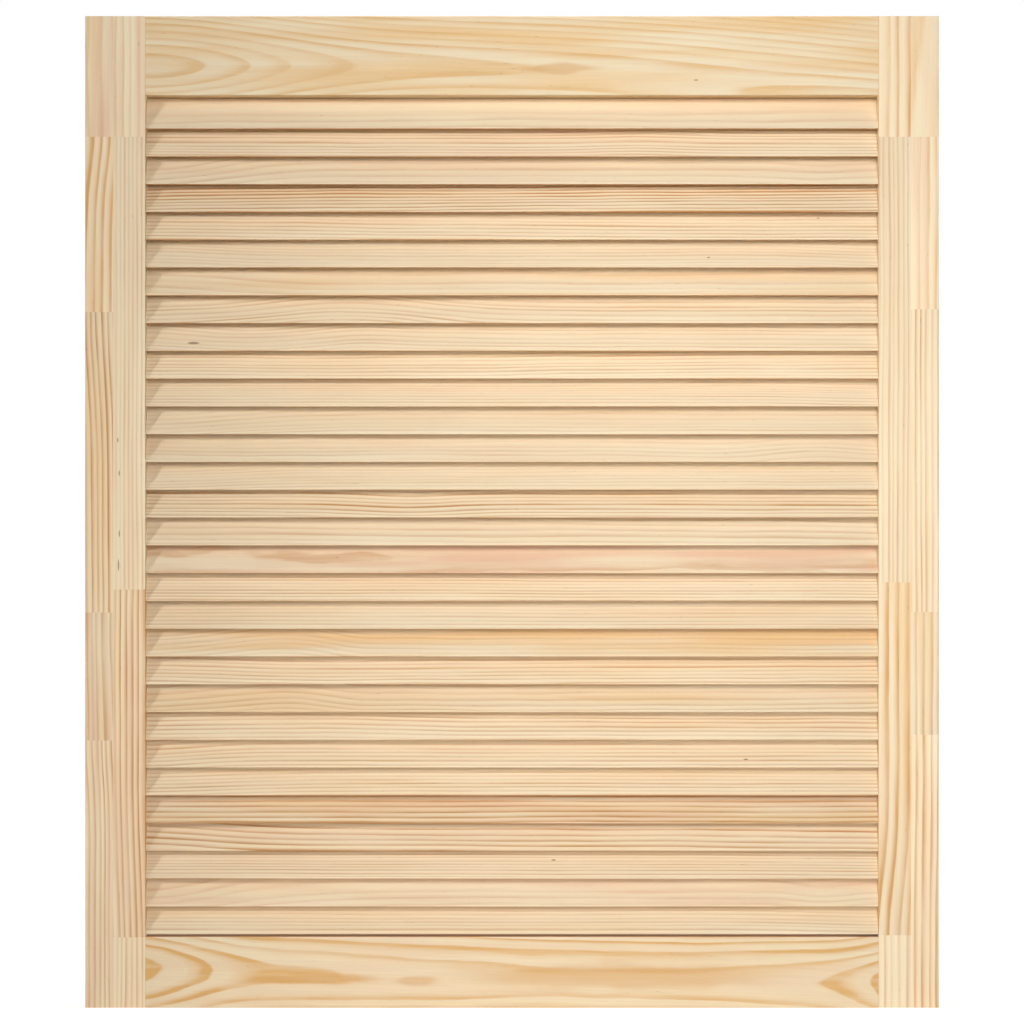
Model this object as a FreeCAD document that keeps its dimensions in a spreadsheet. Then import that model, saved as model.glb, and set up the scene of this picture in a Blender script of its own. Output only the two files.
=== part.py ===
"""Louvred door leaf in solid pine: two laminated stiles, two rails and a stack of fixed, tilted slats.

Millimetres, +Z up. The front of the door looks towards -Y. The origin is on the outer edge of the left
stile, the hinge edge, at the bottom of the door and in the middle of its thickness.
"""

import FreeCAD, Part
import math
import os

import Sketcher
from FreeCAD import Vector

# The driving dimensions: name, size in millimetres (the tilt in degrees, the count a plain number), meaning
DIMENSIONS = (
    ("door_width", 594.0, "overall width of the leaf"),
    ("door_height", 690.0, "overall height of the leaf"),
    ("door_thickness", 21.0, "thickness of stiles and rails"),
    ("stile_width", 42.0, "face width of each stile"),
    ("outer_strip_width", 19.5, "face width of the outer of a stile's two glued strips"),
    ("top_rail_height", 55.0, "face height of the top rail"),
    ("bottom_rail_height", 49.5, "face height of the bottom rail"),
    ("arris_radius", 0.6, "rounding of the long edges of stiles and rails"),
    ("tenon_length", 12.0, "length of the stub tenons on the rails' ends"),
    ("tenon_thickness", 7.0, "thickness of the stub tenons"),
    ("tenon_shoulder", 10.0, "height of the shoulders above and below a tenon"),
    ("tenon_clearance", 0.1, "play around a tenon in its mortise"),
    ("slat_count", 30, "slats between the rails"),
    ("slat_width", 26.9, "width of a slat's face, down its slope"),
    ("slat_thickness", 4.0, "thickness of a slat, square to its face"),
    ("slat_tilt", 32.0, "lean of a slat from upright, its top edge to the back"),
    ("slat_edge_radius", 0.6, "rounding of a slat's four long edges"),
    ("top_gap", 0.4, "air between the top slat and the top rail"),
    ("bottom_gap", 1.4, "air between the bottom slat and the bottom rail"),
    ("housing_depth", 8.0, "depth of the slots in the stiles that hold the slats"),
    ("housing_clearance", 0.1, "play around a slat in its slot"),
    ("slat_end_clearance", 0.3, "play between a slat's end and the bottom of its slot"),
)
SHEET = "Dimensions"


def size(name):
    """The expression that reads one driving dimension."""
    return f"{SHEET}.{name}"


# Sizes that follow from the driving dimensions, as expressions
INNER_STRIP_WIDTH = f"({size('stile_width')} - {size('outer_strip_width')})"
OPENING_WIDTH = f"({size('door_width')} - 2 * {size('stile_width')})"
OPENING_HEIGHT = f"({size('door_height')} - {size('top_rail_height')} - {size('bottom_rail_height')})"
TOP_RAIL_CENTRE = f"({size('door_height')} - {size('top_rail_height')} / 2)"
BOTTOM_RAIL_CENTRE = f"({size('bottom_rail_height')} / 2)"
TENONED_LENGTH = f"({OPENING_WIDTH} + 2 * {size('tenon_length')})"
MORTISE_DEPTH = f"({size('tenon_length')} + {size('tenon_clearance')})"
MORTISE_THICKNESS = f"({size('tenon_thickness')} + 2 * {size('tenon_clearance')})"
SLAT_LENGTH = f"({OPENING_WIDTH} + 2 * ({size('housing_depth')} - {size('slat_end_clearance')}))"
SLAT_RISE = f"({size('slat_width')} * cos({size('slat_tilt')}))"
STACK_TRAVEL = f"({OPENING_HEIGHT} - {size('top_gap')} - {size('bottom_gap')} - {SLAT_RISE})"
SLAT_PITCH = f"({STACK_TRAVEL} / ({size('slat_count')} - 1))"
LOWEST_SLAT_CENTRE = f"({size('bottom_rail_height')} + {size('bottom_gap')} + {SLAT_RISE} / 2)"
HOUSING_RISE = f"({SLAT_RISE} + 2 * {size('housing_clearance')})"
HOUSING_THICKNESS = f"({size('slat_thickness')} + 2 * {size('housing_clearance')})"


def make_sheet(doc):
    """The spreadsheet that holds the driving dimensions, one aliased cell each."""
    sheet = doc.addObject("Spreadsheet::Sheet", SHEET)
    for row, (name, value, meaning) in enumerate(DIMENSIONS, start=1):
        sheet.set(f"A{row}", meaning)
        sheet.set(f"B{row}", str(value))
        sheet.setAlias(f"B{row}", name)
    doc.recompute()
    return sheet


def new_body(doc, name):
    body = doc.addObject("PartDesign::Body", name)
    body.Label = name
    return body


def origin_feature(body, role):
    """One of the body's own origin planes or axes, such as XY_Plane or Z_Axis."""
    return next(feature for feature in body.Origin.OriginFeatures if feature.Role == role)


def new_sketch(body, name, plane):
    sketch = body.newObject("Sketcher::SketchObject", name)
    sketch.AttachmentSupport = [(origin_feature(body, plane), "")]
    sketch.MapMode = "FlatFace"
    return sketch


def bind_constraint(sketch, index, name, expression):
    sketch.renameConstraint(index, name)
    sketch.setExpression(f"Constraints.{name}", expression)


def draw_rectangle(sketch, across, along):
    """A rectangle centred on the sketch's origin, across to the right and along upwards."""
    low, high = -1, 1
    corners = [Vector(low, low), Vector(high, low), Vector(high, high), Vector(low, high)]
    for start, end in zip(corners, corners[1:] + corners[:1]):
        sketch.addGeometry(Part.LineSegment(start, end), False)
    bottom, right, top, left = range(4)
    for line, following in ((bottom, right), (right, top), (top, left), (left, bottom)):
        sketch.addConstraint(Sketcher.Constraint("Coincident", line, 2, following, 1))
    sketch.addConstraint(Sketcher.Constraint("Horizontal", bottom))
    sketch.addConstraint(Sketcher.Constraint("Horizontal", top))
    sketch.addConstraint(Sketcher.Constraint("Vertical", right))
    sketch.addConstraint(Sketcher.Constraint("Vertical", left))
    sketch.addConstraint(Sketcher.Constraint("Symmetric", bottom, 1, top, 1, -1, 1))
    across_index = sketch.addConstraint(
        Sketcher.Constraint("DistanceX", bottom, 1, bottom, 2, high - low))
    along_index = sketch.addConstraint(Sketcher.Constraint("DistanceY", right, 1, right, 2, high - low))
    bind_constraint(sketch, across_index, "across", across)
    bind_constraint(sketch, along_index, "along", along)


def draw_slat_section(sketch, rise, thickness):
    """A leaning section with level top and bottom edges, centred on the sketch's origin.

    rise is its height, thickness is measured square to its two faces.
    """
    lean, half, depth = 1, 2, 1
    corners = [
        Vector(-lean - depth, -half), Vector(-lean + depth, -half),
        Vector(lean + depth, half), Vector(lean - depth, half),
    ]
    for start, end in zip(corners, corners[1:] + corners[:1]):
        sketch.addGeometry(Part.LineSegment(start, end), False)
    bottom, back, top, front = range(4)
    for line, following in ((bottom, back), (back, top), (top, front), (front, bottom)):
        sketch.addConstraint(Sketcher.Constraint("Coincident", line, 2, following, 1))
    sketch.addConstraint(Sketcher.Constraint("Horizontal", bottom))
    sketch.addConstraint(Sketcher.Constraint("Horizontal", top))
    sketch.addConstraint(Sketcher.Constraint("Symmetric", bottom, 1, top, 1, -1, 1))
    sketch.addConstraint(Sketcher.Constraint("Parallel", back, front))
    rise_index = sketch.addConstraint(Sketcher.Constraint("DistanceY", back, 1, back, 2, 2 * half))
    lean_index = sketch.addConstraint(Sketcher.Constraint("DistanceX", back, 1, back, 2, 2 * lean))
    edge_index = sketch.addConstraint(Sketcher.Constraint("DistanceX", bottom, 1, bottom, 2, 2 * depth))
    bind_constraint(sketch, rise_index, "rise", rise)
    bind_constraint(sketch, lean_index, "lean", f"{rise} * tan({size('slat_tilt')})")
    bind_constraint(sketch, edge_index, "edge", f"{thickness} / cos({size('slat_tilt')})")


def pad_both_ways(body, sketch, length, name):
    """A pad of the whole length given, half of it to each side of its sketch."""
    feature = body.newObject("PartDesign::Pad", name)
    feature.Profile = sketch
    feature.Midplane = True
    feature.setExpression("Length", length)
    return feature


def ease_long_edges(body, board, radius, on_side=lambda middle: True):
    """Rounds those long edges of a board whose middle point on_side accepts."""
    body.Document.recompute()
    board_length = max(edge.Length for edge in board.Shape.Edges)
    names = [
        f"Edge{number}"
        for number, edge in enumerate(board.Shape.Edges, start=1)
        if math.isclose(edge.Length, board_length) and on_side(edge.CenterOfMass)
    ]
    feature = body.newObject("PartDesign::Fillet", "eased_edges")
    feature.Base = (board, names)
    feature.setExpression("Radius", radius)
    return feature


def place(body, x, z):
    body.setExpression("Placement.Base.x", x)
    body.setExpression("Placement.Base.z", z)


def cut_into_side(body, sketch, depth, towards_right, name):
    """A pocket from a sketch on the strip's inner face, into the wood."""
    body.Document.recompute()
    pocket = body.newObject("PartDesign::Pocket", name)
    pocket.Profile = sketch
    pocket.Reversed = towards_right
    pocket.setExpression("Length", depth)
    body.Document.recompute()
    return pocket


def make_strip(doc, name, width, centre_x, eased_side):
    """One of the two upright strips that are glued edge to edge into a stile.

    eased_side is -1 or 1: the side in X whose front and back edges are rounded.
    """
    body = new_body(doc, name)
    section = new_sketch(body, "section", "XY_Plane")
    draw_rectangle(section, width, size("door_thickness"))
    board = pad_both_ways(body, section, size("door_height"), "board")
    ease_long_edges(body, board, size("arris_radius"), lambda middle: middle.x * eased_side > 0)
    place(body, centre_x, f"{size('door_height')} / 2")
    return body


def cut_mortise(body, name, rail_height, rail_centre, face_x, towards_right):
    """The mortise in a strip's inner face for one rail's stub tenon."""
    mouth = new_sketch(body, f"{name}_mouth", "YZ_Plane")
    height = f"({rail_height} - 2 * {size('tenon_shoulder')} + 2 * {size('tenon_clearance')})"
    draw_rectangle(mouth, MORTISE_THICKNESS, height)
    mouth.setExpression("AttachmentOffset.Base.y", f"{rail_centre} - {size('door_height')} / 2")
    mouth.setExpression("AttachmentOffset.Base.z", face_x)
    return cut_into_side(body, mouth, MORTISE_DEPTH, towards_right, name)


def cut_housings(body, face_x, towards_right):
    """The row of leaning slots that hold the slats' ends, cut into a strip's inner face."""
    mouth = new_sketch(body, "housing_mouth", "YZ_Plane")
    draw_slat_section(mouth, HOUSING_RISE, HOUSING_THICKNESS)
    mouth.setExpression("AttachmentOffset.Base.y", f"{LOWEST_SLAT_CENTRE} - {size('door_height')} / 2")
    mouth.setExpression("AttachmentOffset.Base.z", face_x)
    housing = cut_into_side(body, mouth, size("housing_depth"), towards_right, "housing")
    row = body.newObject("PartDesign::LinearPattern", "housing_row")
    row.Originals = [housing]
    row.Direction = (origin_feature(body, "Z_Axis"), [""])
    row.setExpression("Length", STACK_TRAVEL)
    row.setExpression("Occurrences", size("slat_count"))
    body.Tip = row


def make_inner_strip(doc, name, centre_x, inner_side):
    """A stile's inner strip, with the rails' mortises and the slats' housings in its inner face.

    inner_side is 1 on the left stile, whose inner face looks to the right, and -1 on the right stile.
    """
    body = make_strip(doc, name, INNER_STRIP_WIDTH, centre_x, eased_side=inner_side)
    face_x = f"{inner_side} * {INNER_STRIP_WIDTH} / 2"
    towards_right = inner_side < 0
    cut_mortise(body, "top_mortise", size("top_rail_height"), TOP_RAIL_CENTRE, face_x, towards_right)
    cut_mortise(
        body, "bottom_mortise", size("bottom_rail_height"), BOTTOM_RAIL_CENTRE, face_x, towards_right)
    cut_housings(body, face_x, towards_right)
    return body


def make_stile_strips(doc):
    """The four strips of the two stiles."""
    outer_half = f"{size('outer_strip_width')} / 2"
    inner_middle = f"({size('outer_strip_width')} + {INNER_STRIP_WIDTH} / 2)"
    right = size("door_width")
    outer_width = size("outer_strip_width")
    return [
        make_strip(doc, "left_stile_outer_strip", outer_width, outer_half, eased_side=-1),
        make_inner_strip(doc, "left_stile_inner_strip", inner_middle, inner_side=1),
        make_inner_strip(doc, "right_stile_inner_strip", f"{right} - {inner_middle}", inner_side=-1),
        make_strip(doc, "right_stile_outer_strip", outer_width, f"{right} - {outer_half}", eased_side=1),
    ]


def make_rail(doc, name, height, centre_z):
    """A rail between the stiles: its long edges are eased, and a stub tenon stands out of each end."""
    body = new_body(doc, name)
    section = new_sketch(body, "section", "YZ_Plane")
    draw_rectangle(section, size("door_thickness"), height)
    board = pad_both_ways(body, section, OPENING_WIDTH, "board")
    ease_long_edges(body, board, size("arris_radius"))
    tenon = new_sketch(body, "tenon_section", "YZ_Plane")
    draw_rectangle(tenon, size("tenon_thickness"), f"({height} - 2 * {size('tenon_shoulder')})")
    pad_both_ways(body, tenon, TENONED_LENGTH, "tenons")
    place(body, f"{size('door_width')} / 2", centre_z)
    return body


def make_rails(doc):
    return [
        make_rail(doc, "top_rail", size("top_rail_height"), TOP_RAIL_CENTRE),
        make_rail(doc, "bottom_rail", size("bottom_rail_height"), BOTTOM_RAIL_CENTRE),
    ]


def make_slat(doc, name, steps_up):
    """One slat, its top edge leaning to the back, steps_up pitches above the lowest one."""
    body = new_body(doc, name)
    section = new_sketch(body, "section", "YZ_Plane")
    draw_slat_section(section, SLAT_RISE, size("slat_thickness"))
    board = pad_both_ways(body, section, SLAT_LENGTH, "board")
    ease_long_edges(body, board, size("slat_edge_radius"))
    place(body, f"{size('door_width')} / 2", f"{LOWEST_SLAT_CENTRE} + {steps_up} * {SLAT_PITCH}")
    return body


def make_slats(doc, count):
    """All the slats, numbered from the top."""
    return [make_slat(doc, f"slat_{number:02d}", count - number) for number in range(1, count + 1)]


def check(doc, pieces):
    """Stops the build if an object failed, a sketch is loose or a piece is not one valid solid."""
    for thing in doc.Objects:
        if "Invalid" in thing.State or "Error" in thing.State:
            raise RuntimeError(f"{thing.Label} failed: {thing.State}")
        if thing.isDerivedFrom("Sketcher::SketchObject") and not thing.FullyConstrained:
            raise RuntimeError(f"{thing.Label} is not fully constrained")
    for piece in pieces:
        shape = piece.Shape
        if shape.isNull() or not shape.isValid() or len(shape.Solids) != 1:
            raise RuntimeError(f"{piece.Label} is not one valid solid")


def main():
    doc = FreeCAD.newDocument("louvred_door")
    sheet = make_sheet(doc)
    pieces = make_stile_strips(doc) + make_rails(doc) + make_slats(doc, int(sheet.slat_count))
    doc.recompute()
    check(doc, pieces)
    os.makedirs("parts", exist_ok=True)
    for piece in pieces:
        piece.Shape.exportStep(f"parts/{piece.Label}.step")
    print(f"{len(pieces)} pieces, {sum(piece.Shape.Volume for piece in pieces) / 1e6:.4f} litres of wood")


main()
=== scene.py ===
"""Louvred pine door: finger-jointed stiles, two rails and thirty fixed slats."""

import math
import random
from collections import namedtuple

import bmesh
import bpy
from bpy.props import FloatProperty, FloatVectorProperty, IntProperty, PointerProperty
from mathutils import Matrix, Vector


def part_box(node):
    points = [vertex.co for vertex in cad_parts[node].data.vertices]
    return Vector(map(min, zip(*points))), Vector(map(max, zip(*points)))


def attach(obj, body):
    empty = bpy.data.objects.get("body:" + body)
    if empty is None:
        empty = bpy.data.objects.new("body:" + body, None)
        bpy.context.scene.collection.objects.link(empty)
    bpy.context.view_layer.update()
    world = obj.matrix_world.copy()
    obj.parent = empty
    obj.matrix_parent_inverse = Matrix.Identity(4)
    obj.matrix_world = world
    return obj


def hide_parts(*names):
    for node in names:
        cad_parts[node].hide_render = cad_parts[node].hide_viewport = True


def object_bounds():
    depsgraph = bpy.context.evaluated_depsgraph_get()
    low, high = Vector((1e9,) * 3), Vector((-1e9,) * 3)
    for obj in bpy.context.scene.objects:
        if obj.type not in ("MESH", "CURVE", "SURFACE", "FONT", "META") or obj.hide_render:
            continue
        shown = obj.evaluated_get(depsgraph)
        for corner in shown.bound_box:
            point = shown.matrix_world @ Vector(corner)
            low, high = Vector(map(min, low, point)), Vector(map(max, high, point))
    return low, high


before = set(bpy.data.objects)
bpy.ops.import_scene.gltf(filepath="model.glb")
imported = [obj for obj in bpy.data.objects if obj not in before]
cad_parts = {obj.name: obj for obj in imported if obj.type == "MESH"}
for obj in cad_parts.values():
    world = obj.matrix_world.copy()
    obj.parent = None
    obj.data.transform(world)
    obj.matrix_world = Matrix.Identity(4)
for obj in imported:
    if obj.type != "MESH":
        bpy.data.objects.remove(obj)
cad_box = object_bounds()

bl_info = {
    "name": "Louvred pine door",
    "version": (1, 0, 0),
    "blender": (4, 5, 0),
    "location": "View3D > Sidebar > Door",
    "description": "Builds the boards, slats, wood and studio of a louvred pine door",
    "category": "Object",
}

MM = 0.001
RIGHT, UP, FRONT = Vector((1, 0, 0)), Vector((0, 0, 1)), Vector((0, -1, 0))
DOOR_MIDDLE = (Vector(cad_box[0]) + Vector(cad_box[1])) / 2

# Seeds set a piece apart in the noise: the first piece's seed and the step to the next.
STILE_SEED, STILE_SEED_STEP = 2.37, 1.37
RAIL_SEED, RAIL_SEED_STEP = 40.3, 2.9
SLAT_SEED, SLAT_SEED_STEP = 3.1, 1.93
SLAT_BOW_SEED = 30

# How strong a slat's S-shaped bow is beside its plain one.
S_BOW = 0.6

# How a piece was sawn from its log. Millimetres, seen from the front.
# across and behind: from the piece's middle to the pith, over its width and behind its face.
# spacing: width of a year ring. contrast: how dark the late wood is.
# lean: how far the rings drift in 100 mm of length. shift: a drift all along.
# bends: (place along the piece, length, drift) where the grain swerves over the whole width.
# swells: (place along, place across, length, width, drift) where it swerves in one spot.
# specks: (place along, place across, length, width) of resin flecks and pin knots.
# swing: how far the pith's line rises over the piece's width in 100 mm of length.
# tone: how light the piece is beside the others, partly its own tone and partly painted light that makes up
# for how the lamps fall on it. gold: how golden its ring lines are.
# uneven: how much the width of the rings varies.
# patches: (place along, place across, length, width) where late wood is cut flat and shows broad.
# warmth and rose: how far honey or pink tinges it. wander: how far the rings stray from round.
Cut = namedtuple(
    "Cut",
    "across behind spacing contrast"
    " lean warmth rose wander shift bends swells specks swing tone gold uneven patches",
    defaults=(0.0, 0.0, 0.0, 1.0, 0.0, (), (), (), 0.0, 1.0, 0.0, 0.8, ()),
)

# Grades: how strong the ring lines show, how light a board is, and how far it is tinged.
FAINT, SOFT, PLAIN, CLEAR, BOLD = 0.35, 0.5, 0.7, 1.0, 1.4
DULL, LIGHT, BRIGHT = 0.95, 1.05, 1.1
TINGE, HALF, FULL = 0.15, 0.5, 1.0

# Slats from the top one down.
SLAT_CUTS = (
    Cut(26, 70, 3, FAINT, rose=TINGE, bends=((40, 50, -1.2),)),
    Cut(70, 12, 3, CLEAR, lean=-0.3, rose=TINGE, wander=0.7, bends=((384, 45, 2.2),), tone=LIGHT),
    Cut(40, 58, 3, FAINT, rose=TINGE, bends=((40, 75, -9), (510, 30, -1.6))),
    Cut(60, 22, 2.6, BOLD, lean=1, bends=((490, 120, -1),)),
    Cut(60, 26, 2.8, PLAIN, lean=-0.8, specks=((511, 4, 1.5, 0.5),), tone=LIGHT),
    Cut(55, 42, 2.3, SOFT, bends=((40, 60, 3), (556, 50, -2)), specks=((434, -6, 1.6, 0.6),)),
    Cut(32, 72, 2.6, FAINT, warmth=HALF, bends=((40, 70, 3),)),
    Cut(46, 44, 2.8, PLAIN, bends=((182, 75, 8),)),
    Cut(55, 40, 2.8, SOFT, lean=-0.4, bends=((114, 50, -3.6), (192, 30, 1.6)), specks=((75, -8, 5, 1.2),)),
    Cut(60, 26, 2.6, PLAIN, lean=0.4, bends=((200, 100, -1.5),), tone=LIGHT),
    Cut(70, 8, 2.3, SOFT, wander=0.5, bends=((552, 60, -2),)),
    Cut(46, 50, 2.4, FAINT, bends=((40, 75, -6),), tone=DULL),
    Cut(42, 55, 2.3, FAINT, rose=TINGE, wander=1.2, bends=((440, 45, -1.5), (505, 40, 2)), tone=DULL),
    Cut(60, 30, 2.4, FAINT, bends=((40, 90, -4),), tone=DULL),
    Cut(65, 15, 3, CLEAR, lean=-0.3, warmth=TINGE, wander=0.8, bends=((224, 42, -2.4),), tone=DULL),
    Cut(46, 50, 3.2, SOFT, lean=-0.7, tone=DULL),
    Cut(6, 58, 3.4, SOFT, lean=0.2, rose=FULL, wander=2.2, tone=DULL),
    Cut(70, 10, 2.6, PLAIN, lean=-0.2, warmth=TINGE, wander=0.6),
    Cut(70, 14, 2.8, SOFT, warmth=TINGE, wander=0.6, tone=DULL),
    Cut(50, 46, 2.8, FAINT, lean=0.3, warmth=FULL, bends=((139, 60, 6.5), (187, 26, -2)), tone=DULL),
    Cut(65, 15, 3, PLAIN, lean=0.5, warmth=TINGE, bends=((40, 80, 3.5),)),
    Cut(42, 50, 3, SOFT, lean=0.3, warmth=HALF, bends=((140, 60, 4.5), (187, 26, -1.6)), tone=DULL),
    Cut(65, 20, 3.2, PLAIN, lean=-0.3, warmth=TINGE, bends=((156, 90, 1.5),)),
    Cut(68, 12, 3.2, PLAIN, wander=0.6, bends=((40, 50, -4),), specks=((460, -8, 2, 0.7),)),
    Cut(68, 12, 2.8, PLAIN, lean=-0.2, warmth=TINGE, wander=0.6, bends=((40, 80, -4),)),
    Cut(75, 12, 4, BOLD, warmth=HALF, rose=HALF, wander=0.8, tone=DULL),
    Cut(55, 25, 4, CLEAR, lean=-0.5, rose=TINGE, bends=((40, 60, 5),)),
    Cut(70, 8, 2.4, PLAIN, lean=-0.3, wander=0.5, specks=((326, 0, 2, 0.7),)),
    Cut(34, 62, 3, FAINT, rose=HALF, bends=((40, 75, -9), (512, 26, -2))),
    Cut(70, 14, 2.8, SOFT, warmth=TINGE, wander=0.6, bends=((556, 60, -2),)),
)

# Stile boards from the top one down: the height of the joint below each, then its cut. Their LIGHT and BRIGHT
# tones are partly painted light, lightening the stiles where the lamps' light falls off towards the door's
# sides.
STILE_CUTS = {
    "left_stile_outer_strip": (
        (606, Cut(-30, 60, 4, FAINT, warmth=HALF, rose=FULL, tone=BRIGHT)),
        (484, Cut(-55, 25, 5, CLEAR, warmth=HALF, rose=TINGE, wander=0.8, bends=((612, 40, -4.5),),
            tone=BRIGHT, gold=HALF)),
        (275, Cut(60, 10, 3.6, CLEAR, lean=-0.3, warmth=HALF, wander=0.8, bends=((490, 70, -4),),
            tone=LIGHT, uneven=0.4)),
        (186, Cut(50, 35, 3, PLAIN, lean=-1.5, warmth=FULL, rose=FULL)),
        (0, Cut(-60, 25, 3, CLEAR, rose=HALF, bends=((190, 40, 2.5),), tone=LIGHT)),
    ),
    "left_stile_inner_strip": (
        (606, Cut(-55, 40, 4.6, SOFT, rose=HALF, tone=BRIGHT, gold=HALF)),
        (291, Cut(70, 14, 2.8, SOFT, rose=TINGE, wander=0.6,
            specks=((330, -7, 3, 0.5), (308, -7.5, 5, 0.6), (372, -7, 2.5, 0.5), (395, -8, 2, 0.5)),
            tone=LIGHT, uneven=0.4)),
        (49, Cut(-65, 15, 3.9, CLEAR, warmth=HALF, rose=HALF, wander=0.8, bends=((40, 60, -3),), tone=LIGHT)),
        (0, Cut(70, 20, 3.2, SOFT, tone=LIGHT)),
    ),
    "right_stile_inner_strip": (
        (606, Cut(-60, 30, 6, CLEAR, tone=BRIGHT, gold=HALF)),
        (296, Cut(70, 14, 3, SOFT, lean=0.3, warmth=TINGE)),
        (50.5, Cut(-45, 30, 5, CLEAR, warmth=FULL, wander=0.8, bends=((45, 60, 5),), gold=HALF)),
        (0, Cut(70, 10, 5.2, SOFT, tone=LIGHT)),
    ),
    "right_stile_outer_strip": (
        (606, Cut(-14, 60, 4.5, SOFT, lean=-1.5, rose=TINGE, tone=BRIGHT, gold=FULL)),
        (486, Cut(-50, 40, 5, PLAIN, rose=HALF, tone=BRIGHT, gold=HALF)),
        (275.5, Cut(70, 10, 3.7, PLAIN, wander=0.6, tone=LIGHT)),
        (190, Cut(-50, 25, 4.2, PLAIN, warmth=HALF)),
        (0, Cut(60, 15, 4.6, CLEAR, lean=0.4, rose=TINGE, tone=BRIGHT)),
    ),
}

# The rails are flat sawn, so flames show on their faces.
RAIL_CUTS = {
    "top_rail": Cut(-7, 12, 3.2, PLAIN, warmth=FULL, wander=0.35, shift=0.9,
        bends=((40, 115, -13), (720, 280, 24)), swells=((600, -42, 210, 28, -34),),
        specks=((425, -17, 2, 0.5),), gold=FULL, uneven=0.5, patches=((330, -9, 26, 3),)),
    "bottom_rail": Cut(-5.2, 28, 3.4, BOLD, rose=TINGE, swing=-2, tone=DULL, gold=FULL, uneven=1.6,
        bends=((20, 75, -8.8), (165, 45, -0.8), (317, 60, 1.2), (413, 60, 1.2), (575, 40, -6)),
        patches=((372, -2.5, 110, 8.5), (160, -5, 45, 3.5), (230, -6, 14, 3.2))),
}

# Lamps: the setting with the power, the lamp's radius, where it aims from the door's middle,
# degrees to the left of the front and up, distance, and the cone in degrees. Metres.
# A lamp without bounces lights only what it reaches directly, so none leaks between the slats.
Lamp = namedtuple("Lamp", "name setting radius aim left up distance cone bounces", defaults=(8,))
LAMPS = (
    Lamp("front lamp", "front_lamp", 0.5, RIGHT * 0.14 + UP * 0.34, -6, 8, 1.95, 48),
    Lamp("low lamp", "low_lamp", 0.1, RIGHT * 0.1 - UP * 0.27, -2, 1, 1.8, 40),
    Lamp("side lamp", "side_lamp", 0.2, Vector(), 50, 13, 3.4, 60),
    Lamp("back lamp", "back_lamp", 0.8, Vector(), -135, 4, 3.5, 40, bounces=0),
    Lamp("top lamp", "top_lamp", 0.1, Vector(), 0, 90, 2.2, 30, bounces=0),
    Lamp("floor lamp", "floor_lamp", 0.3, FRONT * 0.55 - UP * DOOR_MIDDLE.z, 0, 90, 2.5, 26),
)

# The floor: half its width, and the two distances between which it brightens, with the two strengths.
FLOOR_REACH = 6.0
GLOW_NEAR_FAR = (0.15, 0.75, 0.75, 1.0)
# How much of the room's light comes from behind the door.
ROOM_LIGHT_BEHIND = 0.15


def from_screen(red, green, blue):
    """A colour as a paint card gives it, from 0 to 255, in the linear values that shaders use."""
    return tuple(
        part / 12.92 if part <= 0.04045 else ((part + 0.055) / 1.055) ** 2.4
        for part in (red / 255, green / 255, blue / 255)
    )


class DoorWoodSettings(bpy.types.PropertyGroup):
    """Colours and finish of the planed, untreated pine."""

    early_wood: FloatVectorProperty(
        name="Early wood", description="Pale spring wood between the ring lines",
        default=from_screen(246, 230, 198), subtype="COLOR", min=0, max=1)
    late_wood: FloatVectorProperty(
        name="Late wood", description="Tan summer wood of the ring lines",
        default=from_screen(206, 153, 98), subtype="COLOR", min=0, max=1)
    gold_wood: FloatVectorProperty(
        name="Gold late wood", description="Golden ring lines of flat-sawn pieces",
        default=from_screen(230, 184, 120), subtype="COLOR", min=0, max=1)
    warm_wood: FloatVectorProperty(
        name="Warm wood", description="Honey tone of resinous stretches",
        default=from_screen(242, 205, 150), subtype="COLOR", min=0, max=1)
    rose_wood: FloatVectorProperty(
        name="Heartwood", description="Pinkish tone of boards cut near the heart",
        default=from_screen(236, 196, 166), subtype="COLOR", min=0, max=1)
    resin: FloatVectorProperty(
        name="Resin", description="Brown of resin flecks and pin knots",
        default=from_screen(128, 88, 52), subtype="COLOR", min=0, max=1)
    # Browns the end grain, which is the wood's own tint, and paints shade on the edges that lie in shadowed
    # gaps.
    sawn_tint_and_painted_shade: FloatVectorProperty(
        name="Sawn tint", description="Browner tint of end grain and sawn edges",
        default=from_screen(228, 186, 146), subtype="COLOR", min=0, max=1)
    sheen: FloatProperty(
        name="Sheen", description="Dull sheen of the bare wood",
        default=0.05, min=0, max=1, subtype="FACTOR")
    fibre: FloatProperty(
        name="Fibre", description="How much the fine fibres vary in tone",
        default=0.07, min=0, max=1, subtype="FACTOR")
    roughness: FloatProperty(
        name="Roughness", description="Roughness of the planed wood",
        default=0.58, min=0, max=1, subtype="FACTOR")
    relief: FloatProperty(
        name="Relief", description="Height of the raised grain",
        default=0.00004, min=0, max=0.001, precision=6, unit="LENGTH")


class DoorBoardSettings(bpy.types.PropertyGroup):
    """Finger joints between the boards of the stiles."""

    finger_pitch: FloatProperty(
        name="Finger pitch", description="Distance from one finger of a joint to the next",
        default=0.0038, min=0.002, max=0.01, precision=4, unit="LENGTH")
    finger_length: FloatProperty(
        name="Finger length", description="How far the fingers of two boards reach into each other",
        default=0.0052, min=0.001, max=0.02, precision=4, unit="LENGTH")
    glue_line: FloatProperty(
        name="Glue line", description="Width of the hairline between two boards",
        default=0.00006, min=0, max=0.001, precision=6, unit="LENGTH")


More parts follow.
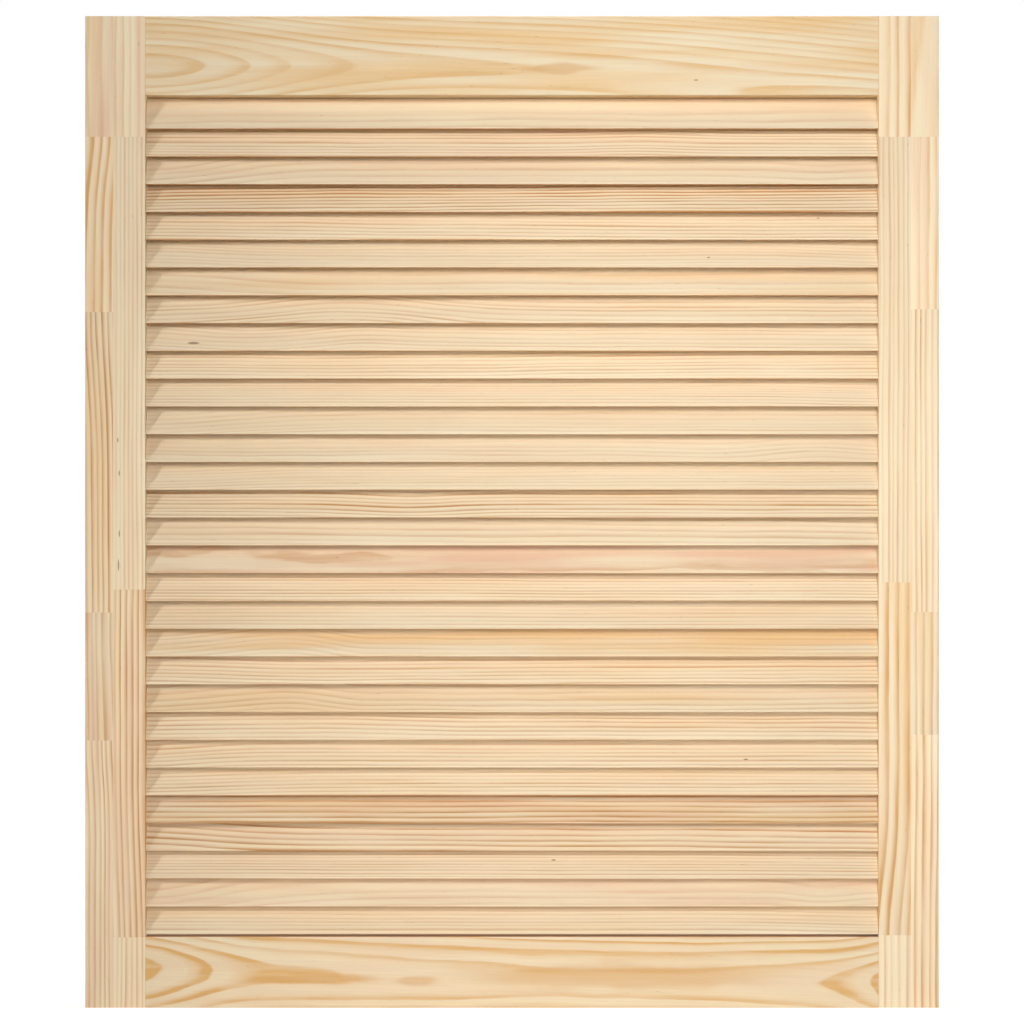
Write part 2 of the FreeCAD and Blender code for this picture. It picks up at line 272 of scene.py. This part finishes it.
class DoorSlatSettings(bpy.types.PropertyGroup):
    """Size and straightness of the slats."""

    thickness: FloatProperty(
        name="Thickness", description="Thickness of a slat",
        default=0.004, min=0.002, max=0.02, unit="LENGTH")
    edge_radius: FloatProperty(
        name="Edge radius", description="Rounding of a slat's four long edges",
        default=0.0006, min=0, max=0.002, precision=4, unit="LENGTH")
    tilt: FloatProperty(
        name="Tilt", description="Lean of a slat from upright, its top edge to the back",
        default=math.radians(32), min=0, max=math.radians(89), subtype="ANGLE")
    bow: FloatProperty(
        name="Bow", description="How far the middle of a slat may spring out of line",
        default=0.00012, min=0, max=0.002, precision=5, unit="LENGTH")
    lengths: IntProperty(
        name="Lengths", description="Pieces that a slat's length is divided into, so that it can bow",
        default=24, min=2, max=100)


class DoorStageSettings(bpy.types.PropertyGroup):
    """Studio that the door stands in."""

    camera_distance: FloatProperty(
        name="Camera distance", description="From the lens to the door's front face",
        default=2.45, min=0.5, max=20, unit="LENGTH")
    view_width: FloatProperty(
        name="View width", description="Width of the picture at the door's front face",
        default=0.7124, min=0.1, max=10, unit="LENGTH")
    side_lamp: FloatProperty(
        name="Side lamp", description="Power of the lamp at the left",
        default=134, min=0, max=5000, unit="POWER")
    front_lamp: FloatProperty(
        name="Front lamp", description="Power of the lamp at the right of the camera",
        default=122, min=0, max=5000, unit="POWER")
    back_lamp: FloatProperty(
        name="Back lamp", description="Power of the low lamp behind the door",
        default=600, min=0, max=5000, unit="POWER")
    top_lamp: FloatProperty(
        name="Top lamp", description="Power of the lamp above the door's top edge",
        default=85, min=0, max=5000, unit="POWER")
    low_lamp: FloatProperty(
        name="Low lamp", description="Power of the level lamp for the lower door",
        default=52, min=0, max=5000, unit="POWER")
    floor_lamp: FloatProperty(
        name="Floor lamp", description="Power of the lamp above the floor before the door",
        default=110, min=0, max=5000, unit="POWER")
    room_light: FloatProperty(
        name="Room light", description="Even light from all sides",
        default=0.02, min=0, max=5)
    floor_tone: FloatVectorProperty(
        name="Floor", description="Colour of the pale floor",
        default=(0.80, 0.74, 0.66), subtype="COLOR", min=0, max=1)


class NodeBench:
    """Adds nodes to one node tree and joins them."""

    def __init__(self, tree):
        self.tree = tree

    def add(self, kind, inputs=None, **settings):
        node = self.tree.nodes.new(kind)
        for name, value in settings.items():
            setattr(node, name, value)
        for key, value in (inputs or {}).items():
            self.feed(node.inputs[key], value)
        return node

    def feed(self, socket, value):
        if isinstance(value, bpy.types.NodeSocket):
            self.tree.links.new(value, socket)
        else:
            socket.default_value = value

    def math(self, operation, *values):
        return self.add("ShaderNodeMath", dict(enumerate(values)), operation=operation).outputs[0]

    def vector(self, operation, *values):
        return self.add("ShaderNodeVectorMath", dict(enumerate(values)), operation=operation)

    def noise(self, vector, scale, detail=2.0, roughness=0.5):
        """Noise from 0 to 1, with scale as waves per millimetre along and across the grain."""
        along, across = scale
        stretched = self.vector("MULTIPLY", vector, (along, across, across)).outputs[0]
        return self.add(
            "ShaderNodeTexNoise",
            {"Vector": stretched, "Scale": 1.0, "Detail": detail, "Roughness": roughness},
        ).outputs[0]

    def step(self, value, low, high, to_low=0.0, to_high=1.0):
        return self.add(
            "ShaderNodeMapRange",
            {"Value": value, "From Min": low, "From Max": high, "To Min": to_low, "To Max": to_high},
            interpolation_type="SMOOTHSTEP",
        ).outputs[0]

    def nearness(self, vector, spot, spread):
        """From 1 at the spot down to 0 around it, like a bell."""
        reach = self.vector("MULTIPLY", self.vector("SUBTRACT", vector, spot).outputs[0], spread).outputs[0]
        square = self.vector("DOT_PRODUCT", reach, reach).outputs["Value"]
        return self.math("EXPONENT", self.math("MULTIPLY", square, -1.0))

    def mix(self, factor, first, second, blend_type="MIX"):
        node = self.add("ShaderNodeMix", data_type="RGBA", blend_type=blend_type)
        for number, value in ((0, factor), (6, first), (7, second)):
            self.feed(node.inputs[number], value)
        return node.outputs[2]


def colour(value):
    """A setting's colour with the alpha that a socket takes."""
    return (*value, 1.0)


def sawn_pine(wood):
    """The node group of pine as it lies in the log: rings round the pith, fibres along it."""
    group = bpy.data.node_groups.new("sawn pine", "ShaderNodeTree")
    inputs = (
        ("Log", "Vector"), ("Drift", "Float"), ("Spacing", "Float"), ("Contrast", "Float"),
        ("Warmth", "Float"), ("Rose", "Float"), ("Wander", "Float"), ("Tone", "Float"), ("Gold", "Float"),
        ("Uneven", "Float"), ("Seed", "Float"), ("Sawn", "Float"),
    )
    for name, kind in inputs:
        group.interface.new_socket(name=name, in_out="INPUT", socket_type="NodeSocket" + kind)
    for name, kind in (("Colour", "Color"), ("Roughness", "Float"), ("Normal", "Vector")):
        group.interface.new_socket(name=name, in_out="OUTPUT", socket_type="NodeSocket" + kind)

    bench = NodeBench(group)
    given = bench.add("NodeGroupInput").outputs
    away = bench.vector("SCALE", (311.0, 173.0, 97.0))
    bench.feed(away.inputs["Scale"], given["Seed"])
    place = bench.vector("ADD", given["Log"], away.outputs[0]).outputs[0]

    # Distance from the pith, with the swerves of a grown trunk.
    _, log_y, log_z = bench.add("ShaderNodeSeparateXYZ", {0: given["Log"]}).outputs
    sway = bench.math("SUBTRACT", bench.noise(place, (1 / 150, 1 / 28), 1.0), 0.5)
    ripple = bench.math("SUBTRACT", bench.noise(place, (1 / 42, 1 / 9), 2.0), 0.5)
    swerve = bench.math("MULTIPLY_ADD", ripple, 0.35, sway)
    swerve = bench.math("MULTIPLY", swerve, bench.math("MULTIPLY", given["Wander"], 3.0))
    round_pith = bench.add("ShaderNodeCombineXYZ", {1: log_y, 2: log_z}).outputs[0]
    radius = bench.vector("LENGTH", round_pith).outputs["Value"]
    radius = bench.math("ADD", bench.math("ADD", radius, given["Drift"]), swerve)

    # Year rings of uneven width: pale at first, then slowly darker to a sharp edge.
    turns = bench.math("DIVIDE", radius, given["Spacing"])
    uneven = bench.add(
        "ShaderNodeTexNoise",
        {"W": bench.math("MULTIPLY_ADD", turns, 0.37, given["Seed"]), "Scale": 1.0, "Detail": 1.0},
        noise_dimensions="1D",
    ).outputs[0]
    turns = bench.math("MULTIPLY_ADD", uneven, given["Uneven"], turns)
    part = bench.math("FRACT", turns)
    rank = bench.add(
        "ShaderNodeTexWhiteNoise",
        {"W": bench.math("ADD", bench.math("FLOOR", turns), given["Seed"])},
        noise_dimensions="1D",
    ).outputs["Value"]
    ramp = bench.add("ShaderNodeValToRGB", {0: part})
    stops = ((0.0, 0.35), (0.05, 0.06), (0.36, 0.06), (0.62, 0.42), (0.80, 0.95), (0.95, 1.0), (1.0, 0.35))
    while len(ramp.color_ramp.elements) < len(stops):
        ramp.color_ramp.elements.new(0.5)
    for element, (position, level) in zip(ramp.color_ramp.elements, stops):
        element.position = position
        element.color = (level, level, level, 1.0)
    late = ramp.outputs[0]
    fading = bench.step(bench.noise(place, (1 / 75, 1 / 6)), 0.25, 0.75, 0.55, 1.2)
    strength = bench.math("MULTIPLY", bench.step(rank, 0.0, 1.0, 0.52, 1.0), fading)
    line = bench.math("MULTIPLY", bench.math("MULTIPLY", late, strength), given["Contrast"])
    line = bench.math("MINIMUM", line, 1.0)

    # Tone of the wood between the lines.
    honey = bench.step(bench.noise(place, (1 / 170, 1 / 11), 1.0), 0.30, 0.75)
    honey = bench.math("MULTIPLY", honey, bench.math("MULTIPLY_ADD", given["Warmth"], 0.75, 0.18))
    elsewhere = bench.vector("ADD", place, (0, 71.0, 13.0)).outputs[0]
    flush = bench.step(bench.noise(elsewhere, (1 / 140, 1 / 9), 1.0), 0.30, 0.72)
    flush = bench.math("MULTIPLY", flush, bench.math("MULTIPLY_ADD", given["Rose"], 0.75, 0.12))
    tone = bench.mix(honey, colour(wood.early_wood), colour(wood.warm_wood))
    tone = bench.mix(flush, tone, colour(wood.rose_wood))
    dark = bench.mix(given["Gold"], colour(wood.late_wood), colour(wood.gold_wood))
    tone = bench.mix(line, tone, dark)

    # Fibres and short resin ducts along the grain, and the browner tint of end grain together with painted
    # shade on the edges in shadowed gaps.
    fibres = bench.noise(place, (1 / 26, 2.6), 3.0, 0.6)
    streaks = bench.noise(place, (1 / 60, 0.7), 2.0)
    shade = bench.math("MULTIPLY_ADD", bench.math("SUBTRACT", fibres, 0.5), 2 * wood.fibre, given["Tone"])
    shade = bench.math("MULTIPLY_ADD", bench.math("SUBTRACT", streaks, 0.5), 1.4 * wood.fibre, shade)
    grey = bench.add("ShaderNodeCombineXYZ", {0: shade, 1: shade, 2: shade}).outputs[0]
    tone = bench.mix(1.0, tone, grey, "MULTIPLY")
    tone = bench.mix(given["Sawn"], tone, bench.mix(1.0, tone, colour(wood.sawn_tint_and_painted_shade), "MULTIPLY"))
    ducts = bench.step(bench.noise(place, (1 / 5, 1.7), 0.0), 0.80, 0.86)
    ducts = bench.math("MULTIPLY", bench.math("MULTIPLY", ducts, late), 0.35)
    tone = bench.mix(ducts, tone, colour(wood.resin))

    rough = bench.math("MULTIPLY_ADD", line, -0.10, wood.roughness)
    rough = bench.math("MULTIPLY_ADD", bench.math("SUBTRACT", fibres, 0.5), 0.25, rough)
    bump = bench.add("ShaderNodeBump", {"Strength": 0.5, "Distance": wood.relief, "Height": fibres})
    bench.add("NodeGroupOutput", {"Colour": tone, "Roughness": rough, "Normal": bump.outputs[0]})
    return group


def pine(name, cut, seed, middle, along, across, out, painted_shade_edge=Vector()):
    """A material of pine for one piece.

    along, across and out are the piece's directions; the last argument is the way that an edge faces which is
    browned as painted shade, since it lies in a shadowed gap.
    """
    wood = bpy.context.scene.door_wood
    group = bpy.data.node_groups.get("sawn pine") or sawn_pine(wood)
    material = bpy.data.materials.new(name)
    material.use_nodes = True
    bench = NodeBench(material.node_tree)
    shader = material.node_tree.nodes["Principled BSDF"]

    pith = middle + (across * cut.across - out * cut.behind) * MM
    trunk = (along + across * cut.swing / 100).normalized()
    outwards = middle - pith
    outwards = (outwards - trunk * outwards.dot(trunk)).normalized()
    turn = Matrix((trunk, outwards, trunk.cross(outwards)))
    offset = turn @ pith / -MM
    offset.x = 0.0
    here = bench.add("ShaderNodeTexCoord").outputs["Object"]
    log = bench.add("ShaderNodeMapping", {
        "Vector": here, "Location": offset, "Rotation": turn.to_euler(), "Scale": (1 / MM,) * 3,
    }).outputs[0]

    face = Matrix((along, across, along.cross(across)))
    centre = face @ middle / -MM
    centre.x = 0.0
    flat = bench.add("ShaderNodeMapping", {
        "Vector": here, "Location": centre, "Rotation": face.to_euler(), "Scale": (1 / MM,) * 3,
    }).outputs[0]
    run = bench.add("ShaderNodeSeparateXYZ", {0: flat}).outputs[0]
    drift = bench.math("MULTIPLY_ADD", run, cut.lean / 100, cut.shift)
    for spot, length, reach in cut.bends:
        near = bench.nearness(flat, (spot, 0, 0), (1 / length, 0, 0))
        drift = bench.math("MULTIPLY_ADD", near, reach, drift)
    for spot, aside, length, width, reach in cut.swells:
        near = bench.nearness(flat, (spot, aside, 0), (1 / length, 1 / width, 0))
        drift = bench.math("MULTIPLY_ADD", near, reach, drift)

    facing = bench.add("ShaderNodeNewGeometry").outputs["Normal"]
    lengthwise = bench.vector("DOT_PRODUCT", facing, along).outputs["Value"]
    # Browner on end grain, which is the wood's own tint, and painted shade on the edge that faces the given
    # way, where it lies in a shadowed gap.
    facing_painted_shade_edge = bench.vector("DOT_PRODUCT", facing, painted_shade_edge).outputs["Value"]
    sawn = bench.step(bench.math("ABSOLUTE", lengthwise), 0.6, 0.9, 0.0, 0.45)
    sawn = bench.math("ADD", sawn, bench.step(facing_painted_shade_edge, 0.6, 0.9))
    grain = bench.add("ShaderNodeGroup", node_tree=group)
    for key, value in (
        ("Log", log), ("Drift", drift), ("Spacing", cut.spacing), ("Contrast", cut.contrast),
        ("Warmth", cut.warmth), ("Rose", cut.rose), ("Wander", cut.wander), ("Tone", cut.tone),
        ("Gold", cut.gold), ("Uneven", cut.uneven), ("Seed", seed), ("Sawn", sawn),
    ):
        bench.feed(grain.inputs[key], value)
    tone = grain.outputs["Colour"]

    waver = bench.math("MULTIPLY_ADD", bench.noise(flat, (1 / 35, 1 / 15)), 8.0, -4.0)
    wavering = bench.vector("ADD", flat, bench.add("ShaderNodeCombineXYZ", {1: waver}).outputs[0]).outputs[0]
    for spot, aside, length, width in cut.patches:
        near = bench.nearness(wavering, (spot, aside, 0), (1 / length, 1 / width, 0))
        broad = colour((wood.late_wood + wood.gold_wood) / 2)
        tone = bench.mix(bench.step(near, 0.1, 0.7, 0.0, 0.5), tone, broad)
    for spot, aside, length, width in cut.specks:
        near = bench.nearness(flat, (spot, aside, 0), (1 / length, 1 / width, 0))
        tone = bench.mix(bench.step(near, 0.3, 0.8, 0.0, 0.7), tone, colour(wood.resin))

    bench.feed(shader.inputs["Base Color"], tone)
    bench.feed(shader.inputs["Roughness"], grain.outputs["Roughness"])
    bench.feed(shader.inputs["Normal"], grain.outputs["Normal"])
    bench.feed(shader.inputs["Specular IOR Level"], wood.sheen)
    return material


def stand_in_for(node, name, mesh, material):
    """Puts a finished mesh into the scene in place of a CAD node."""
    mesh.materials.clear()
    mesh.materials.append(material)
    mesh.shade_smooth()
    mesh.set_sharp_from_angle(angle=math.radians(30))
    piece = bpy.data.objects.new(name, mesh)
    bpy.context.scene.collection.objects.link(piece)
    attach(piece, "root")
    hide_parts(node)
    return piece


def merged_copy(node):
    """An object with a copy of a CAD node's mesh whose loose triangles are joined."""
    bm = bmesh.new()
    bm.from_mesh(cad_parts[node].data)
    bmesh.ops.remove_doubles(bm, verts=bm.verts, dist=1e-7)
    mesh = bpy.data.meshes.new(node + " copy")
    bm.to_mesh(mesh)
    bm.free()
    for attribute in [a for a in mesh.attributes if a.name == "custom_normal"]:
        mesh.attributes.remove(attribute)
    copy = bpy.data.objects.new(node + " copy", mesh)
    bpy.context.scene.collection.objects.link(copy)
    return copy


def finger_block(low, high, bottom, top, fingered_bottom, fingered_top, boards):
    """A block from bottom to top over a strip's section, with fingers at its jointed ends.

    The fingers lie side by side through the strip's depth, so its front shows a straight joint.
    """
    width, depth = high.x - low.x, high.y - low.y
    count = round(depth / boards.finger_pitch)
    bm = bmesh.new()
    bmesh.ops.create_grid(bm, x_segments=4 * (count + 2), y_segments=1, size=0.5)
    bmesh.ops.scale(bm, vec=(depth * (count + 2) / count, top - bottom, 1.0), verts=bm.verts)
    for side, fingered in ((-1, fingered_bottom), (1, fingered_top)):
        row = [vert for vert in bm.verts if vert.co.y * side > 0]
        row.sort(key=lambda vert: vert.co.x)
        if fingered:
            tips = [vert for place, vert in enumerate(row) if place % 4 in (1, 2)]
            bmesh.ops.translate(bm, vec=(0, boards.finger_length, 0), verts=tips)
            bmesh.ops.translate(bm, vec=(0, -side * boards.glue_line / 2, 0), verts=row)
        else:
            bmesh.ops.translate(bm, vec=(0, side * depth, 0), verts=row)
    for axis in "XZ":
        bmesh.ops.rotate(bm, matrix=Matrix.Rotation(math.pi / 2, 3, axis), verts=bm.verts)
    sheet = bm.faces[:]
    sweep = bmesh.ops.extrude_face_region(bm, geom=sheet)
    risen = [item for item in sweep["geom"] if isinstance(item, bmesh.types.BMVert)]
    bmesh.ops.translate(bm, vec=(2 * width, 0, 0), verts=risen)
    centre = Vector((low.x - width / 2, (low.y + high.y) / 2, (bottom + top) / 2))
    bmesh.ops.translate(bm, vec=centre, verts=bm.verts)
    bmesh.ops.recalc_face_normals(bm, faces=bm.faces)
    mesh = bpy.data.meshes.new("finger block")
    bm.to_mesh(mesh)
    bm.free()
    block = bpy.data.objects.new("finger block", mesh)
    bpy.context.scene.collection.objects.link(block)
    return block


def cut_board(strip, block):
    """The mesh of the length of a strip that a block covers."""
    saw = strip.modifiers.new("saw", "BOOLEAN")
    saw.operation = "INTERSECT"
    saw.solver = "EXACT"
    saw.object = block
    ready = strip.evaluated_get(bpy.context.evaluated_depsgraph_get())
    mesh = bpy.data.meshes.new_from_object(ready)
    strip.modifiers.remove(saw)
    return mesh


def discard(obj):
    """Removes a helper object and its mesh."""
    mesh = obj.data
    bpy.data.objects.remove(obj)
    bpy.data.meshes.remove(mesh)


class DOOR_OT_stile_boards(bpy.types.Operator):
    """Saw the strips of the stiles into their finger-jointed boards"""

    bl_idname = "door.stile_boards"
    bl_label = "Stile boards"

    def execute(self, context):
        boards = context.scene.door_boards
        seed = STILE_SEED
        for node, rows in STILE_CUTS.items():
            low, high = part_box(node)
            strip = merged_copy(node)
            top = high.z
            for number, (joint, cut) in enumerate(rows, start=1):
                bottom = joint * MM
                block = finger_block(low, high, bottom, top, joint > 0, number > 1, boards)
                mesh = cut_board(strip, block)
                if not mesh.polygons:
                    raise RuntimeError(f"board {number} of {node} came out empty")
                discard(block)
                name = f"{node.replace('_strip', '')}_board_{number}"
                middle = Vector(((low.x + high.x) / 2, (low.y + high.y) / 2, (bottom + top) / 2))
                wood = pine(name + " pine", cut, seed, middle, UP, RIGHT, FRONT)
                stand_in_for(node, name, mesh, wood)
                seed += STILE_SEED_STEP
                top = bottom
            discard(strip)
        return {"FINISHED"}


class DOOR_OT_rails(bpy.types.Operator):
    """Give the two flat-sawn rails their wood"""

    bl_idname = "door.rails"
    bl_label = "Rails"

    def execute(self, context):
        for number, (node, cut) in enumerate(RAIL_CUTS.items()):
            low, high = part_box(node)
            # The bottom rail's top edge lies in the shadowed gap under the lowest slat and gets painted
            # shade.
            painted_shade_edge = UP if node == "bottom_rail" else Vector()
            seed = RAIL_SEED + RAIL_SEED_STEP * number
            wood = pine(node + " pine", cut, seed, (low + high) / 2, RIGHT, UP, FRONT, painted_shade_edge)
            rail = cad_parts[node]
            if not rail.material_slots:
                raise RuntimeError(f"{node} has no place for a material")
            rail.material_slots[0].material = wood
        return {"FINISHED"}


def planed_slat(slats, length, height, chance):
    """A slat's mesh round the origin, its edges cut level and eased, with a slight bow by chance."""
    bm = bmesh.new()
    bmesh.ops.create_cube(bm, size=1.0)
    depth = slats.thickness / math.cos(slats.tilt)
    bmesh.ops.scale(bm, vec=(length, depth, height), verts=bm.verts)
    long_edges = [e for e in bm.edges if abs(e.verts[0].co.x - e.verts[1].co.x) > length / 2]
    sharp_edges = [e for e in long_edges if e.verts[0].co.y * e.verts[0].co.z > 0]
    blunt_edges = [e for e in long_edges if e not in sharp_edges]
    lean = Matrix.Shear("XY", 4, (0.0, math.tan(slats.tilt)))
    bmesh.ops.transform(bm, matrix=lean, verts=bm.verts)
    right_angle = math.pi / 2
    for edges, corner in ((sharp_edges, right_angle - slats.tilt), (blunt_edges, right_angle + slats.tilt)):
        bmesh.ops.bevel(
            bm, geom=edges, offset=slats.edge_radius / math.tan(corner / 2), affect="EDGES",
            segments=4, profile=0.5, material=-1)
    for step in range(1, slats.lengths):
        bmesh.ops.bisect_plane(
            bm, geom=bm.verts[:] + bm.edges[:] + bm.faces[:],
            plane_co=((step / slats.lengths - 0.5) * length, 0, 0), plane_no=(1, 0, 0))
    first, second = (chance.uniform(-1, 1) for _ in range(2))
    for vert in bm.verts:
        share = vert.co.x / length + 0.5
        spring = first * math.sin(math.pi * share) + S_BOW * second * math.sin(2 * math.pi * share)
        vert.co.z += slats.bow * spring / (1 + S_BOW)
    return bm


class DOOR_OT_slats(bpy.types.Operator):
    """Plane the slats, each with its own slight bow and grain"""

    bl_idname = "door.slats"
    bl_label = "Slats"

    def execute(self, context):
        slats = context.scene.door_slats
        nodes = sorted(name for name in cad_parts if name.startswith("slat_"))
        if len(nodes) != len(SLAT_CUTS):
            raise RuntimeError(f"{len(nodes)} slats in the frame, {len(SLAT_CUTS)} cuts")
        chance = random.Random(SLAT_BOW_SEED)
        tilt = Matrix.Rotation(-slats.tilt, 3, "X")
        for number, (node, cut) in enumerate(zip(nodes, SLAT_CUTS)):
            low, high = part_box(node)
            middle = (low + high) / 2
            bm = planed_slat(slats, high.x - low.x, high.z - low.z, chance)
            bmesh.ops.translate(bm, vec=middle, verts=bm.verts)
            mesh = bpy.data.meshes.new(node)
            bm.to_mesh(mesh)
            bm.free()
            seed = SLAT_SEED + SLAT_SEED_STEP * number
            # Each slat's underside lies in the shadowed gap above the next slat and gets painted shade.
            wood = pine(f"{node} pine", cut, seed, middle, RIGHT, tilt @ UP, tilt @ FRONT, -UP)
            stand_in_for(node, f"{node}_planed", mesh, wood)
        return {"FINISHED"}


class DOOR_OT_stage(bpy.types.Operator):
    """Set up the floor, the lamps, the room light and the camera"""

    bl_idname = "door.stage"
    bl_label = "Stage"

    def execute(self, context):
        scene = context.scene
        stage = scene.door_stage
        self.make_floor(scene, stage, DOOR_MIDDLE)
        self.make_room(scene, stage)
        for lamp in LAMPS:
            self.hang_lamp(scene, lamp, getattr(stage, lamp.setting), DOOR_MIDDLE + lamp.aim)
        self.set_camera(scene, stage, DOOR_MIDDLE, cad_box[0][1])
        scene.view_settings.view_transform = "Standard"
        return {"FINISHED"}

    def set_camera(self, scene, stage, middle, front):
        """A camera square on the door's front, as far off as the picture's perspective shows."""
        lens = bpy.data.cameras.new("camera")
        lens.sensor_width = 36.0
        lens.lens = lens.sensor_width * stage.camera_distance / stage.view_width
        lens.clip_end = 100.0
        camera = bpy.data.objects.new("camera", lens)
        camera.location = (middle.x, front - stage.camera_distance, middle.z)
        camera.rotation_euler = (math.pi / 2, 0, 0)
        scene.collection.objects.link(camera)
        scene.camera = camera

    def make_floor(self, scene, stage, middle):
        """A pale floor that looks white far from the door and keeps the door's shadow."""
        bm = bmesh.new()
        bmesh.ops.create_grid(bm, x_segments=1, y_segments=1, size=FLOOR_REACH)
        bmesh.ops.translate(bm, vec=(middle.x, middle.y, 0.0), verts=bm.verts)
        mesh = bpy.data.meshes.new("floor")
        bm.to_mesh(mesh)
        bm.free()
        material = bpy.data.materials.new("pale floor")
        material.use_nodes = True
        bench = NodeBench(material.node_tree)
        material.node_tree.nodes.remove(material.node_tree.nodes["Principled BSDF"])
        seen = self.seen_by_camera(bench)
        matt = bench.add("ShaderNodeBsdfDiffuse", {"Color": colour(stage.floor_tone)})
        here = bench.add("ShaderNodeTexCoord").outputs["Object"]
        away = bench.vector("DISTANCE", here, (middle.x, middle.y, 0.0)).outputs["Value"]
        glow = bench.math("MULTIPLY", seen, bench.step(away, *GLOW_NEAR_FAR))
        lift = bench.add("ShaderNodeEmission", {"Strength": glow})
        both = bench.add("ShaderNodeAddShader", {0: matt.outputs[0], 1: lift.outputs[0]})
        bench.feed(material.node_tree.nodes["Material Output"].inputs["Surface"], both.outputs[0])
        mesh.materials.append(material)
        floor = bpy.data.objects.new("floor", mesh)
        scene.collection.objects.link(floor)

    def make_room(self, scene, stage):
        """A white backdrop that lights the door only a little, and less from behind."""
        world = bpy.data.worlds.new("room")
        world.use_nodes = True
        scene.world = world
        bench = NodeBench(world.node_tree)
        backdrop = world.node_tree.nodes["Background"]
        sky = bench.add("ShaderNodeTexCoord").outputs["Generated"]
        backwards = bench.add("ShaderNodeSeparateXYZ", {0: sky}).outputs[1]
        behind = ROOM_LIGHT_BEHIND * stage.room_light
        open_side = bench.step(backwards, -0.5, 0.4, stage.room_light, behind)
        strength = bench.add(
            "ShaderNodeMapRange",
            {"Value": self.seen_by_camera(bench), "To Min": open_side, "To Max": 1.0})
        backdrop.inputs["Color"].default_value = (1, 1, 1, 1)
        bench.feed(backdrop.inputs["Strength"], strength.outputs[0])

    def seen_by_camera(self, bench):
        """1 for what the camera sees, straight or mirrored, and 0 for what lights the door."""
        rays = bench.add("ShaderNodeLightPath").outputs
        mirrored = bench.math("MAXIMUM", rays["Is Glossy Ray"], rays["Is Transmission Ray"])
        return bench.math("MAXIMUM", rays["Is Camera Ray"], mirrored)

    def hang_lamp(self, scene, lamp, power, target):
        """A soft round spot lamp that faces its target."""
        light = bpy.data.lights.new(lamp.name, "SPOT")
        light.cycles.max_bounces = lamp.bounces
        light.energy = power
        light.shadow_soft_size = lamp.radius
        light.spot_size = math.radians(lamp.cone)
        light.spot_blend = 1.0
        aside = Matrix.Rotation(math.radians(-lamp.left), 3, "Z")
        towards = aside @ Matrix.Rotation(math.radians(-lamp.up), 3, "X") @ FRONT
        holder = bpy.data.objects.new(lamp.name, light)
        holder.location = target + towards * lamp.distance
        holder.rotation_euler = towards.to_track_quat("Z", "Y").to_euler()
        scene.collection.objects.link(holder)


class DOOR_PT_louvred_door(bpy.types.Panel):
    bl_idname = "DOOR_PT_louvred_door"
    bl_label = "Louvred door"
    bl_space_type = "VIEW_3D"
    bl_region_type = "UI"
    bl_category = "Door"

    def draw(self, context):
        scene = context.scene
        for settings, operators in (
            (scene.door_wood, ()),
            (scene.door_boards, (DOOR_OT_stile_boards, DOOR_OT_rails)),
            (scene.door_slats, (DOOR_OT_slats,)),
            (scene.door_stage, (DOOR_OT_stage,)),
        ):
            box = self.layout.box()
            for name in settings.__annotations__:
                box.prop(settings, name)
            for operator in operators:
                box.operator(operator.bl_idname)


SETTINGS = {
    "door_wood": DoorWoodSettings,
    "door_boards": DoorBoardSettings,
    "door_slats": DoorSlatSettings,
    "door_stage": DoorStageSettings,
}
TOOLS = (DOOR_OT_stile_boards, DOOR_OT_rails, DOOR_OT_slats, DOOR_OT_stage, DOOR_PT_louvred_door)


def register():
    for name, kind in SETTINGS.items():
        bpy.utils.register_class(kind)
        setattr(bpy.types.Scene, name, PointerProperty(type=kind))
    for tool in TOOLS:
        bpy.utils.register_class(tool)


def unregister():
    for tool in reversed(TOOLS):
        bpy.utils.unregister_class(tool)
    for name, kind in reversed(SETTINGS.items()):
        delattr(bpy.types.Scene, name)
        bpy.utils.unregister_class(kind)


def main():
    register()
    bpy.ops.door.stile_boards()
    bpy.ops.door.rails()
    bpy.ops.door.slats()
    bpy.ops.door.stage()


if __name__ == "__main__":
    main()
